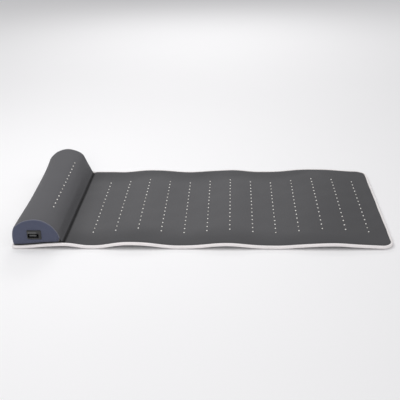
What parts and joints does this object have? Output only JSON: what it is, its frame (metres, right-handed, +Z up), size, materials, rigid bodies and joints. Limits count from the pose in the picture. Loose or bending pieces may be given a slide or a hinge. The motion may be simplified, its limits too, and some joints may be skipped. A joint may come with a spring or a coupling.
{
  "type": "heated massage mat",
  "caption": "Flat padded infrared heating mat with a half-round bolster at one end, rows of small lenses, a bound edge and a socket in the bolster's end cap.",
  "frame": {"origin": "centre of the outline, on the surface the mat lies on", "axes": "+X along the mat from the bolster to the foot, +Y from the socket side to the rear, +Z up"},
  "size_m": [0.9, 0.45, 0.0787],
  "materials": {
    "cover_fabric": "charcoal close-woven fabric",
    "backing_fabric": "dark plain backing fabric",
    "foam": "open-cell foam",
    "heater_film": "black carbon film",
    "binding_fabric": "pale warm grey woven binding tape",
    "lens": "milky moulded lens",
    "emitter_circuit": "white flexible circuit",
    "cap_fabric": "navy smooth fabric over a board",
    "bezel_plastic": "black satin plastic",
    "contact_metal": "dull grey contact tongue",
    "indicator": "smoked light strip",
    "box_plastic": "dark moulded plastic",
    "board": "green circuit board",
    "ribbon": "copper ribbon in clear film",
    "cutout_metal": "plain metal case"
  },
  "bodies": {
    "head": {"top_cover_head": "cover_fabric", "bottom_cover_head": "backing_fabric", "foam_core_head": "foam", "heater_film_head": "heater_film", "bus_ribbon_head": "ribbon", "lens_strip_01": "lens", "emitter_strip_01": "emitter_circuit", "lens_strip_02": "lens", "emitter_strip_02": "emitter_circuit", "lens_strip_03": "lens", "emitter_strip_03": "emitter_circuit", "lens_strip_04": "lens", "emitter_strip_04": "emitter_circuit", "lens_strip_05": "lens", "emitter_strip_05": "emitter_circuit", "lens_strip_06": "lens", "emitter_strip_06": "emitter_circuit", "lens_strip_07": "lens", "emitter_strip_07": "emitter_circuit", "edge_binding_head": "binding_fabric", "bolster_cover": "cover_fabric", "bolster_foam": "foam", "bolster_lens_strip": "lens", "bolster_emitter_strip": "emitter_circuit", "front_end_cap": "cap_fabric", "rear_end_cap": "cap_fabric", "socket_bezel": "bezel_plastic", "socket_shell": "bezel_plastic", "socket_tongue": "contact_metal", "indicator_lens": "indicator", "control_box_tray": "box_plastic", "control_box_lid": "box_plastic", "control_board": "board", "thermal_cutout": "cutout_metal"},
    "middle": {"top_cover_middle": "cover_fabric", "bottom_cover_middle": "backing_fabric", "foam_core_middle": "foam", "heater_film_middle": "heater_film", "bus_ribbon_middle": "ribbon", "lens_strip_08": "lens", "emitter_strip_08": "emitter_circuit", "lens_strip_09": "lens", "emitter_strip_09": "emitter_circuit", "lens_strip_10": "lens", "emitter_strip_10": "emitter_circuit", "edge_binding_middle_front": "binding_fabric", "edge_binding_middle_back": "binding_fabric"},
    "foot": {"top_cover_foot": "cover_fabric", "bottom_cover_foot": "backing_fabric", "foam_core_foot": "foam", "heater_film_foot": "heater_film", "bus_ribbon_foot": "ribbon", "lens_strip_11": "lens", "emitter_strip_11": "emitter_circuit", "lens_strip_12": "lens", "emitter_strip_12": "emitter_circuit", "lens_strip_13": "lens", "emitter_strip_13": "emitter_circuit", "edge_binding_foot": "binding_fabric"}
  },
  "joints": [
    {"name": "middle_fold", "type": "hinge", "parent": "head", "child": "middle", "pos_m": [0.09495, 0, 0.021], "axis": [0, -1, 0], "range_deg": [0, 178]},
    {"name": "foot_fold", "type": "hinge", "parent": "middle", "child": "foot", "pos_m": [0.26085, 0, -0.0003], "axis": [0, 1, 0], "range_deg": [0, 178]}
  ]
}
